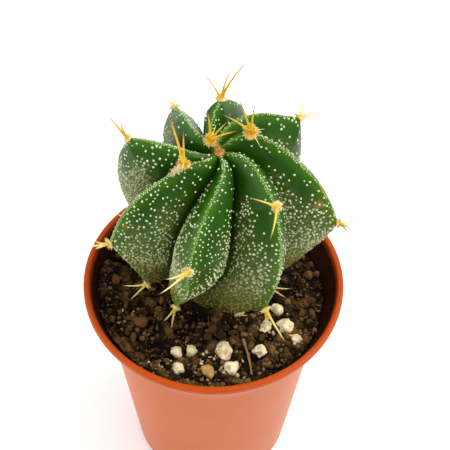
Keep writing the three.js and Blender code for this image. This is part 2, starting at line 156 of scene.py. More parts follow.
# How pale wool is in the middle and at the rim of a pad
YOUNG_PAD = (0.0, 0.55)
OLD_PAD = (0.3, 0.85)
TRAIL_PAD = (0.85, 1.0)
HAIR_LENGTHS = (0.2, 0.55)
HAIR_RADIUS = 0.065
LEAST_HAIRS = 50
HAIRS_BY_AREA = 90
# Felt that trails down a crest below its areole: rib, way and radius
WOOL_TRAILS = [(1, 0.177, 0.7), (1, 0.187, 0.55), (1, 0.197, 0.45), (1, 0.206, 0.35), (2, 0.46, 0.6)]
# Tufts of the crown's strip of felt: place from the top of the stem's axis, and radius
CROWN_WOOL = [(0.7, -0.1, 0.2, 0.95), (0.1, 0.7, 0.5, 0.75), (-0.5, 1.4, 0.75, 0.65),
              (-1.0, 2.1, 1.0, 0.5)]

# Fineness
RIB_STEPS = 40
SURFACE_STEP = 0.004
SPINE_STEPS = 14
SPINE_SIDES = 9
TUFT_STEPS = 18
TUFT_RINGS = 8
STEM_RINGS = 220
POT_SEGMENTS = 192
SOIL_RINGS = 80
SOIL_SECTORS = 256


# Colours

def srgb(red, green, blue):
    """A colour given as on a screen, 0 to 255, in the linear form that shaders take."""
    linear = [((c / 255.0 + 0.055) / 1.055) ** 2.4 if c > 10 else c / 255.0 / 12.92
              for c in (red, green, blue)]
    return (*linear, 1.0)


# Two colours under one name run from dark to pale
SKIN_YOUNG = srgb(16, 48, 1), srgb(40, 84, 6)
SKIN_OLD = srgb(52, 68, 10), srgb(78, 92, 22)
# Painted shade that darkens the skin towards the foot of each groove
SKIN_GROOVE_SHADE = srgb(24, 56, 3)
SKIN_CREST = srgb(122, 150, 58)
# Painted highlight: a yellow-green band beside each crest, for light shining through the thin crest edges
SKIN_EDGE_HIGHLIGHT = srgb(62, 108, 8)
SKIN_FROST = srgb(154, 162, 94)
# Painted shade, olive-brown, for the shaded undersides of the ribs low on the stem
SKIN_LOW_SHADE = srgb(50, 44, 12)
SCAR = srgb(112, 66, 20), srgb(184, 128, 70)
FLECK = srgb(112, 106, 46), srgb(206, 216, 178)
SPINE_ROOT = srgb(194, 132, 4), srgb(230, 196, 28)
SPINE_MIDDLE = srgb(200, 164, 30)
SPINE_OLD = srgb(226, 208, 136)
SPINE_TIP = srgb(80, 38, 18)
WOOL = srgb(176, 114, 0), srgb(208, 166, 24)
WOOL_CREAM = srgb(234, 216, 166)
CROWN = srgb(142, 84, 28), srgb(216, 168, 84)
POT_LIP = srgb(168, 66, 6)
POT_WALL = srgb(172, 86, 36), srgb(182, 96, 46)
# Painted shade, greyer pink, on the wall just under the lip
POT_UNDER_LIP_SHADE = srgb(172, 96, 56)
POT_DUST = srgb(120, 70, 40)
# Painted shade on the pot's inner wall and floor
POT_INSIDE_SHADE = srgb(22, 8, 3), srgb(62, 22, 8)
# Black mould of the soil, whose dark end is also used as painted shade in the soil's hollows
MOULD_AND_SHADE = srgb(10, 7, 3), srgb(42, 28, 12)
SOIL_BROWN = srgb(116, 84, 44)
SOIL_BIT = srgb(84, 58, 28), srgb(176, 138, 86)
PUMICE = srgb(220, 195, 146), srgb(250, 236, 200)
# Dirt on the pumice, also used as painted shade in its pits and where it meets the soil
PUMICE_DIRT_AND_SHADE = srgb(72, 50, 30)
AMBER = srgb(160, 116, 60), srgb(204, 164, 104)
BARK = srgb(88, 56, 28), srgb(128, 88, 50)
# Dirt on the bark, also used as painted shade in its pits and where it meets the soil
BARK_DIRT_AND_SHADE = srgb(36, 22, 12)
STRAW = srgb(92, 66, 30), srgb(150, 118, 62)


# Camera, lights and floor

CAMERA_PLACE = (0.0, -183.905, 314.351)
CAMERA_RIGHT = Vector((0.999879, 0.006649, 0.014055))
CAMERA_UP = Vector((-0.013835, 0.793008, 0.609054))
SENSOR = 36.0
LENS = 120.0
WORLD_STRENGTH = 1.12
# Lamps as name, place, width and watts, in metres, and the place that they are turned to
LAMPS = (("key", (0.42, 0.06, 0.66), 0.4, 4.0), ("fill", (-0.6, 0.1, 0.28), 0.5, 1.8))
LAMP_TARGET = (0, 0, 0.08)
FLOOR_REACH = 6.0
WHITE = (1, 1, 1, 1)
FLOOR_WHITE = (0.95, 0.95, 0.95, 1)


def new_object(name, data):
    made = bpy.data.objects.new(name, data)
    bpy.context.scene.collection.objects.link(made)
    return made


def make_camera():
    right = CAMERA_RIGHT.normalized()
    up = (CAMERA_UP - right * right.dot(CAMERA_UP)).normalized()
    back = right.cross(up)
    data = bpy.data.cameras.new("camera")
    data.lens = LENS
    data.sensor_width = SENSOR
    data.clip_start = 0.01
    data.clip_end = 50.0
    camera = new_object("camera", data)
    camera.matrix_world = Matrix(
        [[right[i], up[i], back[i], CAMERA_PLACE[i] * MM] for i in range(3)] + [[0, 0, 0, 1]])
    bpy.context.scene.camera = camera


def make_lights():
    bpy.context.scene.view_settings.view_transform = "Standard"
    world = bpy.data.worlds.new("studio")
    world.use_nodes = True
    background = world.node_tree.nodes["Background"]
    background.inputs["Color"].default_value = WHITE
    background.inputs["Strength"].default_value = WORLD_STRENGTH
    bpy.context.scene.world = world
    for name, place, width, power in LAMPS:
        data = bpy.data.lights.new(name, "AREA")
        data.shape = "DISK"
        data.size = width
        data.energy = power
        lamp = new_object(name, data)
        lamp.location = place
        lamp.rotation_euler = (Vector(LAMP_TARGET) - Vector(place)).to_track_quat("-Z", "Y").to_euler()


def make_floor():
    mesh = bpy.data.meshes.new("floor")
    corners = [(x * FLOOR_REACH, y * FLOOR_REACH, 0) for x, y in ((-1, -1), (1, -1), (1, 1), (-1, 1))]
    mesh.from_pydata(corners, [], [(0, 1, 2, 3)])
    mesh.materials.append(Material("floor", 0.7, 0.5).finish(FLOOR_WHITE))
    new_object("floor", mesh)


# Noise and small helpers

def bearings(count):
    return 2 * math.pi * np.arange(count) / count


def around_axis(radius, bearing, height):
    """Places at a radius, bearing and height round an upright axis."""
    x = radius * np.cos(bearing)
    return np.stack([x, radius * np.sin(bearing), height + 0 * x], axis=-1)


def lattice(cells, seed):
    """Even noise from -1 to 1 at whole-numbered points."""
    wave = np.sin(cells @ np.array([127.1, 311.7, 74.7]) + seed * 53.3) * 43758.5453
    return 2.0 * (wave - np.floor(wave)) - 1.0


def noise(points, pitch, seed):
    """Smooth noise from -1 to 1 that varies over pitch millimetres."""
    scaled = np.asarray(points, float) / pitch
    cell = np.floor(scaled)
    share = scaled - cell
    share = share * share * (3.0 - 2.0 * share)
    total = np.zeros(len(scaled))
    for corner in range(8):
        step = np.array([corner & 1, (corner >> 1) & 1, (corner >> 2) & 1])
        weight = np.prod(np.where(step, share, 1.0 - share), axis=1)
        total += weight * lattice(cell + step, seed)
    return total


def lumps(points, layers):
    """Unevenness added up from layers of noise, each with its height, pitch and seed."""
    return sum(height * noise(points, pitch, seed) for height, pitch, seed in layers)


def smooth(value, low, high):
    """A share that rises smoothly from 0 to 1 as the value goes from low to high."""
    share = np.clip((value - low) / (high - low), 0.0, 1.0)
    return share * share * (3.0 - 2.0 * share)


def lengths(vectors):
    return np.linalg.norm(vectors, axis=-1)


def unit(vectors):
    return vectors / np.maximum(lengths(vectors), 1e-12)[..., None]


def axis_beside(directions):
    """For each direction an axis that is well away from it."""
    return np.where(np.abs(directions[..., 2:3]) < 0.8, [0.0, 0.0, 1.0], [1.0, 0.0, 0.0])


def new_piece(name, points, faces, material, node, values):
    """A smooth piece on the one body, in place of a CAD node. Its points are in millimetres."""
    mesh = bpy.data.meshes.new(name)
    mesh.from_pydata((points * MM).tolist(), [], [face for group in faces for face in group.tolist()])
    mesh.shade_smooth()
    for key, numbers in values.items():
        mesh.attributes.new(key, "FLOAT", "POINT").data.foreach_set("value", numbers.astype(np.float32))
    mesh.materials.append(material)
    piece = new_object(name, mesh)
    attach(piece, "root")
    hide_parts(node)
    return piece


def ring_faces(rings, count):
    """Faces of a closed form, from anticlockwise rings listed downwards, then its two end points."""
    ring = np.arange(rings * count).reshape(rings, count)
    following = np.roll(ring, -1, axis=1)
    quads = np.stack([ring[:-1], ring[1:], following[1:], following[:-1]], axis=-1)
    top = np.stack([np.full(count, ring.size), ring[0], following[0]], axis=-1)
    bottom = np.stack([np.full(count, ring.size + 1), following[-1], ring[-1]], axis=-1)
    return [quads.reshape(-1, 4), top, bottom]


class Material:
    """A procedural material: a Principled shader with helpers that add nodes to it."""

    def __init__(self, name, roughness, specular, **more):
        self.material = bpy.data.materials.new(name)
        self.material.use_nodes = True
        self.tree = self.material.node_tree
        self.shader = self.tree.nodes["Principled BSDF"]
        self.feed(self.shader, {"Roughness": roughness, "Specular IOR Level": specular})
        self.feed(self.shader, {key.replace("_", " "): value for key, value in more.items()})

    def feed(self, node, inputs):
        """Set or link a node's inputs, which are given by name or number."""
        for key, value in inputs.items():
            if isinstance(value, bpy.types.NodeSocket):
                self.tree.links.new(value, node.inputs[key])
            else:
                node.inputs[key].default_value = value

    def node(self, kind, output, inputs, **settings):
        """Add a node, and give one of its outputs."""
        node = self.tree.nodes.new(kind)
        for key, value in settings.items():
            setattr(node, key, value)
        self.feed(node, inputs)
        return node.outputs[output]

    def place(self):
        return self.node("ShaderNodeTexCoord", "Object", {})

    def height(self):
        return self.node("ShaderNodeSeparateXYZ", "Z", {"Vector": self.place()})

    def value(self, name):
        return self.node("ShaderNodeAttribute", "Fac", {}, attribute_name=name)

    def noise(self, pitch, detail=3.0, rough=0.5):
        """Noise from 0 to 1 whose features are pitch millimetres apart."""
        inputs = {"Vector": self.place(), "Scale": 1.0 / (pitch * MM), "Detail": detail, "Roughness": rough}
        return self.node("ShaderNodeTexNoise", "Fac", inputs)

    def spread(self, value, low, high):
        """A share that rises from 0 to 1 as the value goes from low to high."""
        inputs = {"Value": value, "From Min": low, "From Max": high}
        return self.node("ShaderNodeMapRange", "Result", inputs, interpolation_type="SMOOTHSTEP")

    def math(self, operation, first, second):
        return self.node("ShaderNodeMath", 0, {0: first, 1: second}, operation=operation)

    def mix(self, share, first, second):
        return self.node("ShaderNodeMix", 2, {0: share, 6: first, 7: second}, data_type="RGBA")

    def layered(self, color, *layers):
        """A colour under layers, each given as its share, its strength and its own colour."""
        for share, strength, above in layers:
            color = self.mix(self.math("MULTIPLY", share, strength), color, above)
        return color

    def finish(self, color, relief=None, depth=0.0):
        """Give the shader its colour, and bumps whose depth is in millimetres."""
        self.feed(self.shader, {"Base Color": color})
        if relief is not None:
            bumps = {"Height": relief, "Distance": depth * MM, "Strength": 1.0}
            self.feed(self.shader, {"Normal": self.node("ShaderNodeBump", "Normal", bumps)})
        return self.material


# Form of the stem

def through(points, way):
    """The curve through evenly spaced points, with its ends held, at a share of the way."""
    last = len(points) - 1
    along = np.clip(way, 0.0, 1.0) * last
    index = np.minimum(np.floor(along).astype(int), last - 1)
    share = (along - index)[:, None]
    before = points[np.maximum(index - 1, 0)]
    here = points[index]
    there = points[index + 1]
    after = points[np.minimum(index + 2, last)]
    start = 0.5 * (there - before)
    end = 0.5 * (after - here)
    return ((2 * here - 2 * there + start + end) * share ** 3
            + (3 * there - 3 * here - 2 * start - end) * share ** 2 + start * share + here)


def rib_bearing(rib, way):
    """A rib's bearing in degrees, with the spiral of all ribs and its own turn low down."""
    start, full, fade, end = LOW_TURN_WAYS
    low = smooth(way, start, full) * (1 - smooth(way, fade, end))
    return BEARINGS[rib] - TWIST[0] * way - TWIST[1] * way ** 2 - TWIST[2] * way ** 3 - LOW_TURNS[rib] * low


def flank_shape(share, way, high, low):
    """How far a flank stands out, from crest to groove: full near the crown, leaner lower down."""
    lean = smooth(way, LEAN_RIB_START, LEAN_RIB_END)
    straight = high[0] + (low[0] - high[0]) * lean
    power = high[1] + (low[1] - high[1]) * lean
    top = math.sqrt(1 + CREST_ROUND ** 2) - CREST_ROUND
    across = (np.sqrt(share ** 2 + CREST_ROUND ** 2) - CREST_ROUND) / top
    return 1 - straight * across - (1 - straight) * across ** power


def crest_frame(rib, way):
    """Each rib's crest as radius and height, with its directions along and outward."""
    point = through(CREST, way)
    along = unit(through(CREST, np.minimum(way + 0.01, 1)) - through(CREST, np.maximum(way - 0.01, 0)))
    outward = np.stack([-along[:, 1], along[:, 0]], axis=1)
    reach_share = np.clip((1 - way) / REACH_FADE, 0, 1)
    point[:, 0] *= 1 + (REACHES[rib] - 1) * reach_share
    swell = np.zeros(len(way))
    for areole_rib, areole_way, _, _ in AREOLES:
        distance = np.abs(way - areole_way) / CORNER_WIDTH
        swell += np.where(rib == areole_rib, CORNER_HEIGHT * np.exp(-distance), 0.0)
    return point + outward * swell[:, None], along, outward


def placed(radius, height, bearing):
    """Radius, height over the soil and bearing to a place in the leaning plant."""
    rise = np.maximum(height, 0.0)
    x = STEM_X + radius * np.cos(bearing) + np.radians(LEAN_X) * rise
    y = STEM_Y + radius * np.sin(bearing) + np.radians(LEAN_Y) * rise
    return np.stack([x, y, SOIL_LEVEL + height + 0 * x], axis=-1)


def stem_surface(turn, way):
    """Places on the stem. Turn is whole on each crest, and way runs from crown to neck."""
    way = np.asarray(way, float)
    turn = turn % RIBS + 0 * way
    rib = np.floor(turn).astype(int) % RIBS
    share = turn - np.floor(turn)
    following = (rib + 1) % RIBS
    own = rib_bearing(rib, way)
    gap = rib_bearing(following, way) + np.where(following == 0, 360.0, 0.0) - own
    groove_share = (GROOVE_SHARE + GROOVE_SHARE_RISE * np.clip(1 - 2 * way, 0, 1)
                    - GROOVE_SHARE_FALL * smooth(way, 0.5, 0.8))
    ahead = share < 0.5
    across = np.where(ahead, 2 * share, 2 - 2 * share)
    turned = np.where(ahead, across * groove_share, 1 - across * (1 - groove_share))
    bearing = np.radians(own + gap * turned)
    crest, _, _ = crest_frame(np.where(ahead, rib, following), way)
    fill = np.where(ahead, flank_shape(across, way, FLANK_AHEAD, LOW_FLANK_AHEAD),
                    flank_shape(across, way, FLANK_BEHIND, LOW_FLANK_BEHIND))
    point = through(GROOVE, way)
    point = point + (crest - point) * fill[:, None]
    return placed(point[:, 0], point[:, 1], bearing)


def stem_normal(turn, way):
    low_way = np.minimum(way + SURFACE_STEP, 1)
    high_way = np.maximum(way - SURFACE_STEP, 0)
    down = stem_surface(turn, low_way) - stem_surface(turn, high_way)
    around = stem_surface(turn + SURFACE_STEP, way) - stem_surface(turn - SURFACE_STEP, way)
    return unit(np.cross(down, around))


def areole_frame(rib, way):
    """An areole's place and its outward, down-the-crest and sideways directions."""
    point, along, outward = (each[0] for each in crest_frame(np.array([rib]), np.array([way])))
    bearing = np.radians(rib_bearing(rib, way))
    away = around_axis(1.0, bearing, 0.0)
    up = np.array([0.0, 0.0, 1.0])
    place = placed(point[0], point[1], bearing)
    out = away * outward[0] + up * outward[1]
    return place, out, away * along[0] + up * along[1], np.cross(up, away)


# Skin

# Spots where the skin is scarred: turn, way, radius in millimetres, and the strength of the mark
BLEMISHES = [(3.9, 0.434, 1.3, 0.7), (3.985, 0.425, 0.8, 0.9), (3.995, 0.4, 0.7, 0.9),
             (1.07, 0.446, 0.8, 0.5)]

# Two flanks to a rib, ahead of its crest and behind the next crest. For each flank: the way from
# crown to neck where the frost of merged flecks starts, the frost's strength, how thickly the
# flank is flecked, and how large its flecks are
FLANKS = np.array([
    (0.38, 2.6, 1.0, 1.15), (0.36, 1.0, 0.6, 1.0),
    (0.35, 1.15, 1.2, 1.05), (0.29, 1.4, 0.1, 1.05),
    (0.46, 1.0, 2.4, 0.95), (0.34, 1.2, 0.2, 1.15),
    (0.38, 1.0, 0.7, 1.0), (0.34, 1.6, 0.25, 1.12),
    (0.42, 1.0, 0.6, 1.1), (0.38, 1.3, 0.3, 1.2),
    (0.42, 1.0, 0.5, 1.1), (0.4, 1.0, 0.4, 1.0),
    (0.42, 1.0, 0.3, 1.1), (0.24, 1.4, 0.35, 1.0),
    (0.4, 1.2, 0.4, 1.1), (0.18, 3.4, 0.9, 1.1),
])
FROST_STARTS, FROST_STRENGTHS, FLANK_FLECKS, FLECK_SIZES = FLANKS.T


def flank(turn):
    return np.floor(2 * turn).astype(int) % (2 * RIBS)


def frost_share(turn, way, points):
    """How frosted the skin is with merged flecks: more so low down, but not at the groove's foot."""
    across = across_rib(turn)
    start = FROST_STARTS[flank(turn)]
    lower = way + 0.05 * noise(points, 5.0, 21)
    low = smooth(lower, start, start + 0.26)
    hollow = smooth(across, 0.35, 0.75) * smooth(lower, start - 0.16, start + 0.02)
    bare_foot = (1 - smooth(across, 0.86, 0.95)) * (1 - 0.5 * smooth(way, 0.6, 0.76))
    bare_edge = 0.4 + 0.6 * smooth(across, 0.08, 0.36)
    return np.maximum(low, 0.75 * hollow) * bare_foot * bare_edge * FROST_STRENGTHS[flank(turn)]


def blemish_share(points):
    """How strongly the skin is scarred, in ragged spots."""
    share = np.zeros(len(points))
    for turn, way, radius, strength in BLEMISHES:
        centre = stem_surface(turn, [way])[0]
        distance = lengths(points - centre) / radius
        ragged = distance + 0.5 * noise(points, 0.7, 23)
        share = np.maximum(share, strength * (1 - smooth(ragged, 0.3, 1.1)))
    return share


def skin_material():
    """Firm green skin: paler along the crests with a painted highlight beside them, smooth and darkened by
    painted shade in the grooves, greyer low down and darkened lower still by painted shade.
    """
    made = Material("cactus_skin", 0.34, 0.1, Subsurface_Weight=0.05, Subsurface_Scale=0.6 * MM,
                    Subsurface_Radius=(0.5, 1.0, 0.3))
    way = made.value("way")
    beside = made.value("beside")
    fine = made.noise(0.5, 4.0, 0.6)
    young = made.mix(made.noise(7.0), *SKIN_YOUNG)
    old = made.mix(made.noise(6.0), *SKIN_OLD)
    specks = made.spread(made.noise(0.55, 2.0), 0.5, 0.6)
    cover = made.math("ADD", 0.1, made.math("MULTIPLY", specks, 0.25))
    scar = made.mix(made.noise(0.8, 2.0), *SCAR)
    color = made.layered(
        made.mix(made.spread(way, 0.3, 0.75), young, old),
        (fine, 0.3, SKIN_YOUNG[0]),
        # Painted shade towards the foot of each groove
        (made.spread(made.value("across"), 0.74, 0.97), 0.75, SKIN_GROOVE_SHADE),
        # Painted shade on the low stem, under the ribs
        (made.spread(way, 0.5, 0.74), 0.9, SKIN_LOW_SHADE),
        # Painted highlight of light through the thin crest edges
        (made.spread(beside, 2.6, 0.4), 0.45, SKIN_EDGE_HIGHLIGHT),
        (made.spread(beside, 0.27, 0.04), 0.6, SKIN_CREST),
        (made.value("frost"), cover, SKIN_FROST),
        (made.value("scar"), 0.8, scar))
    return made.finish(color, fine, 0.03)


def fleck_material():
    """Tiny tufts of white wool; tone runs from the dull ones low down, dulled by painted shade, to the
    bright ones.
    """
    made = Material("flecks", 0.85, 0.05)
    return made.finish(made.mix(made.value("tone"), *FLECK), made.noise(0.12, 2.0), 0.03)


def across_rib(turn):
    """How far a place lies from its crest (0) towards the groove (1)."""
    return 1 - np.abs(2 * (turn % 1) - 1)


def rib_shares():
    """Steps from one crest to the next, closer together at the crests."""
    even = np.arange(RIB_STEPS) / RIB_STEPS
    return even - 0.6 * np.sin(2 * math.pi * even) / (2 * math.pi)


def make_stem():
    turns = (np.arange(RIBS)[:, None] + rib_shares()[None, :]).ravel()
    turn = np.tile(turns, STEM_RINGS)
    way = np.repeat(np.linspace(0.012, 1.0, STEM_RINGS), len(turns))
    points = stem_surface(turn, way)
    uneven = lumps(points, STEM_LUMPS) * smooth(way, 0.03, 0.1)
    points += stem_normal(turn, way) * uneven[:, None]
    beside = lengths(points - stem_surface(np.round(turn), way))
    values = {"across": across_rib(turn), "way": way, "beside": beside,
              "frost": frost_share(turn, way, points), "scar": blemish_share(points)}
    foot = points[-len(turns):]
    bearing = np.arctan2(foot[:, 1] - STEM_Y, foot[:, 0] - STEM_X)
    neck = placed(NECK_RADIUS, -NECK_DEPTH, bearing)
    ends = [placed(0.0, CREST[0][1], 0.0), placed(0.0, -NECK_DEPTH, 0.0)]
    hidden = np.zeros(len(neck) + len(ends))
    values = {key: np.append(numbers, hidden) for key, numbers in values.items()}
    faces = ring_faces(STEM_RINGS + 1, len(turns))
    new_piece("cactus_stem", np.concatenate([points, neck, ends]), faces, skin_material(),
              "cactus", values)


# Flecks

# How far apart flecks are kept: on green skin, in frost, and as beads beside a crest
FLECK_SPACING = 0.7
FROST_SPACING = 0.5
BEAD_SPACING = 0.34
FLECK_RADII = (0.18, 0.28)
FROST_GROWTH = 0.09
BEAD_RADII = (0.11, 0.17)
BEAD_STEPS = (0.36, 0.66)
BEAD_OFFSETS = (0.13, 0.34)
# The ways between which flecks lie, and the part of a turn over which a crest is measured
FLECK_WAYS = (0.03, 0.985)
BEAD_WAYS = (0.05, 0.84)
BEAD_STEP = 0.01
FLECK_CANDIDATES = 90000
FLECK_SIDES = 6
FLECK_SUNK = 0.05
# The radius and height of a fleck's shoulder and the height of its top, as shares of its radius
FLECK_SHOULDER = (0.62, 0.5)
FLECK_TOP = 0.68


def fleck_density(turn, way, points):
    """Flecks per square millimetre over the stem."""
    across = across_rib(turn)
    patch = smooth(noise(points, 5.0, 31), -0.5, 0.7)
    face = 0.08 + 0.75 * smooth(way, 0.08, 0.36) * patch
    near_crown = 0.7 * (1 - smooth(way, 0.12, 0.3)) * (1 - smooth(across, 0.3, 0.6))
    beside_crest = 0.9 * np.exp(-((across - 0.1) / 0.09) ** 2)
    frost = frost_share(turn, way, points)
    bare_foot = 1 - smooth(across, 0.62 + 0.25 * smooth(way, 0.3, 0.5), 0.95)
    return ((face + near_crown + beside_crest) * FLANK_FLECKS[flank(turn)] + 2.4 * frost) * bare_foot


def scattered(count, rng):
    """Random places on the stem, as dense as its flecks."""
    turn = rng.uniform(0, RIBS, count)
    way = rng.uniform(*FLECK_WAYS, count)
    points = stem_surface(turn, way)
    along = lengths(stem_surface(turn, way + SURFACE_STEP) - points) / SURFACE_STEP
    around = lengths(stem_surface(turn + SURFACE_STEP, way) - points) / SURFACE_STEP
    area = along * around * RIBS / count
    chosen = rng.uniform(0, 1, count) < fleck_density(turn, way, points) * area
    return turn[chosen], way[chosen]


def crest_rows(rng):
    """Rows of small flecks close along both sides of every crest."""
    turns, ways = [], []
    for rib in range(RIBS):
        for side in (-1, 1):
            way = np.linspace(*BEAD_WAYS, 3000)
            points = stem_surface(rib, way)
            length = np.concatenate([[0], np.cumsum(lengths(np.diff(points, axis=0)))])
            stops = np.cumsum(rng.uniform(*BEAD_STEPS, int(length[-1] / 0.5)))
            way = np.interp(stops[stops < length[-1]], length, way)
            flecked = FLANK_FLECKS[flank(rib + side * SURFACE_STEP)]
            way = way[rng.uniform(0, 1, len(way)) < 0.55 + 0.4 * flecked]
            beside = stem_surface(rib + side * BEAD_STEP, way)
            width = lengths(beside - stem_surface(rib, way)) / BEAD_STEP
            turns.append(rib + side * rng.uniform(*BEAD_OFFSETS, len(way)) / width)
            ways.append(way)
    return np.concatenate(turns) % RIBS, np.concatenate(ways)


def kept_apart(points, spacing):
    """A mask that drops each point that a kept one's spacing reaches."""
    tree = kdtree.KDTree(len(points))
    for index, point in enumerate(points):
        tree.insert(point, index)
    tree.balance()
    kept = np.ones(len(points), bool)
    for index, point in enumerate(points):
        if kept[index]:
            for _, other, _ in tree.find_range(point, spacing[index]):
                if other > index:
                    kept[other] = False
    return kept


def make_flecks():
    rng = np.random.default_rng(SEED)
    row_turn, row_way = crest_rows(rng)
    turn, way = scattered(FLECK_CANDIDATES, rng)
    in_row = np.arange(len(row_turn) + len(turn)) < len(row_turn)
    turn, way = np.append(row_turn, turn), np.append(row_way, way)
    points = stem_surface(turn, way)
    frost = np.minimum(frost_share(turn, way, points), 1)
    spacing = FLECK_SPACING + (FROST_SPACING - FLECK_SPACING) * frost
    spacing = np.where(in_row, BEAD_SPACING, spacing)
    kept = kept_apart(points, spacing * rng.uniform(0.85, 1.15, len(points)))
    turn, way, points, in_row, frost = (each[kept] for each in (turn, way, points, in_row, frost))
    count = len(points)
    radius = rng.uniform(*FLECK_RADII, count) + FROST_GROWTH * frost * rng.uniform(0, 1, count)
    radius *= FLECK_SIZES[flank(turn)]
    radius = np.where(in_row, rng.uniform(*BEAD_RADII, count), radius)
    # Flecks low down are dulled as painted shade under the ribs
    tone = rng.uniform(0.65, 1.0, count) - 0.4 * frost - 0.65 * smooth(way, 0.54, 0.72)
    domes, faces = fleck_domes(points, stem_normal(turn, way), radius, rng)
    tone = np.repeat(np.clip(tone, 0, 1), len(domes) // count)
    new_piece("cactus_flecks", domes, faces, fleck_material(), "cactus", {"tone": tone})


def fleck_domes(points, normals, radius, rng):
    """Points and faces of a low uneven dome, open below, on the skin at each point."""
    first_side = unit(np.cross(normals, axis_beside(normals)))
    second_side = np.cross(normals, first_side)
    stretch = rng.uniform(0.85, 1.2, (len(points), 1, 1))
    angle = bearings(FLECK_SIDES) + rng.uniform(0, 6.28, (len(points), 1))
    wobble = rng.uniform(0.85, 1.15, (len(points), FLECK_SIDES))[..., None]
    flat = (np.cos(angle)[..., None] * first_side[:, None] * stretch
            + np.sin(angle)[..., None] * second_side[:, None] / stretch) * wobble
    size = radius[:, None, None]
    width, rise = FLECK_SHOULDER
    low = points[:, None] + flat * size - normals[:, None] * FLECK_SUNK
    high = points[:, None] + flat * size * width + normals[:, None] * size * rise
    top = points + normals * (radius * FLECK_TOP)[:, None]
    rings = np.concatenate([high, low, top[:, None]], axis=1)
    *groups, _ = ring_faces(2, FLECK_SIDES)
    offsets = np.arange(len(points))[:, None, None] * rings.shape[1]
    return rings.reshape(-1, 3), [(group + offsets).reshape(-1, group.shape[1]) for group in groups]


# Spines and wool

def tube(line, radii, sides):
    """Points and faces of a closed tapered tube along a line of points."""
    along = unit(np.gradient(line, axis=0))
    flat = unit(np.cross(along, axis_beside(along[0])))
    cross = np.cross(flat, along)
    angle = bearings(sides)[None, :, None]
    around = np.cos(angle) * flat[:, None] + np.sin(angle) * cross[:, None]
    rings = line[:, None] + around * radii[:, None, None]
    return np.concatenate([rings.reshape(-1, 3), line[:1], line[-1:]]), ring_faces(len(line), sides)


class Bundle:
    """Many small closed meshes gathered into one piece."""

    def __init__(self):
        self.points, self.faces, self.values = [], [], {}
        self.count = 0

    def add(self, points, faces, **values):
        self.faces += [group + self.count for group in faces]
        self.points.append(points)
        self.count += len(points)
        for key, numbers in values.items():
            self.values.setdefault(key, []).append(np.broadcast_to(numbers, len(points)))

    def piece(self, name, material, slot, node):
        values = {key: np.concatenate(numbers) for key, numbers in self.values.items()}
        new_piece(name, np.concatenate(self.points), self.faces, material, node, values)


def spine_material():
    """Amber spines with brown tips; those of old areoles, where age is 1, are pale and dull."""
    made = Material("spines", 0.35, 0.3)
    along = made.value("along")
    streak = made.noise(0.35)
    root = made.mix(streak, *SPINE_ROOT)
    young = made.mix(made.spread(along, 0.15, 0.6), root, SPINE_MIDDLE)
    young = made.mix(made.spread(along, 0.55, 0.95), young, SPINE_TIP)
    old = made.mix(made.spread(along, 0.1, 0.5), root, SPINE_OLD)
    old = made.mix(made.spread(along, 0.75, 1.0), old, SPINE_TIP)
    return made.finish(made.mix(made.value("age"), young, old), streak, 0.03)


def make_spines():
    rng = np.random.default_rng(SEED + 1)
    bundle = Bundle()
    share = np.linspace(0, 1, SPINE_STEPS)
    root = SPINE_ROOT_RADIUS * np.exp(-(share / SPINE_ROOT_SHARE) ** 2)
    for rib, way, _, spines in AREOLES:
        place, out, down, side = areole_frame(rib, way)
        for lean, turn, length in spines:
            lean, turn = np.radians((lean, turn))
            sideways = down * math.cos(turn) + side * math.sin(turn)
            along = out * math.cos(lean) + sideways * math.sin(lean)
            bend = SPINE_BEND * length * np.sin(math.pi * share)
            line = place + along * (share * length - SPINE_SUNK)[:, None] + out * bend[:, None]
            line += rng.normal(0, 0.05, 3) * (share ** 2)[:, None]
            thick = SPINE_RADIUS * (0.75 + 0.25 * length / 9)
            radii = thick * (1 - share) ** 0.7 + 0.02 + root
            pale = length < PALE_SPINE
            points, faces = tube(line, 0.6 * radii if pale else radii, SPINE_SIDES)
            along_tube = np.repeat(0.4 + 0.4 * share if pale else share, SPINE_SIDES)
            age = 1.0 if pale else float(smooth(way, 0.2, 0.5))
            bundle.add(points, faces, along=np.append(along_tube, [0, 1]), age=age)
    bundle.piece("cactus_spines", spine_material(), "cactus_skin", "cactus")


def wool_material():
    """Felted wool: amber where depth is 0 and cream where it is 1; brown marks the crown's."""
    made = Material("wool", 0.9, 0.1, Sheen_Weight=0.15, Sheen_Roughness=0.5)
    mottle = made.math("SUBTRACT", made.noise(0.45), 0.5)
    ragged = made.math("ADD", made.value("depth"), made.math("MULTIPLY", mottle, 0.5))
    color = made.mix(made.spread(ragged, 0.05, 0.45), *WOOL)
    color = made.mix(made.spread(ragged, 0.4, 0.9), color, WOOL_CREAM)
    crown = made.mix(made.spread(ragged, 0.2, 0.9), *CROWN)
    color = made.mix(made.value("brown"), color, crown)
    return made.finish(color, made.noise(0.2), 0.08)


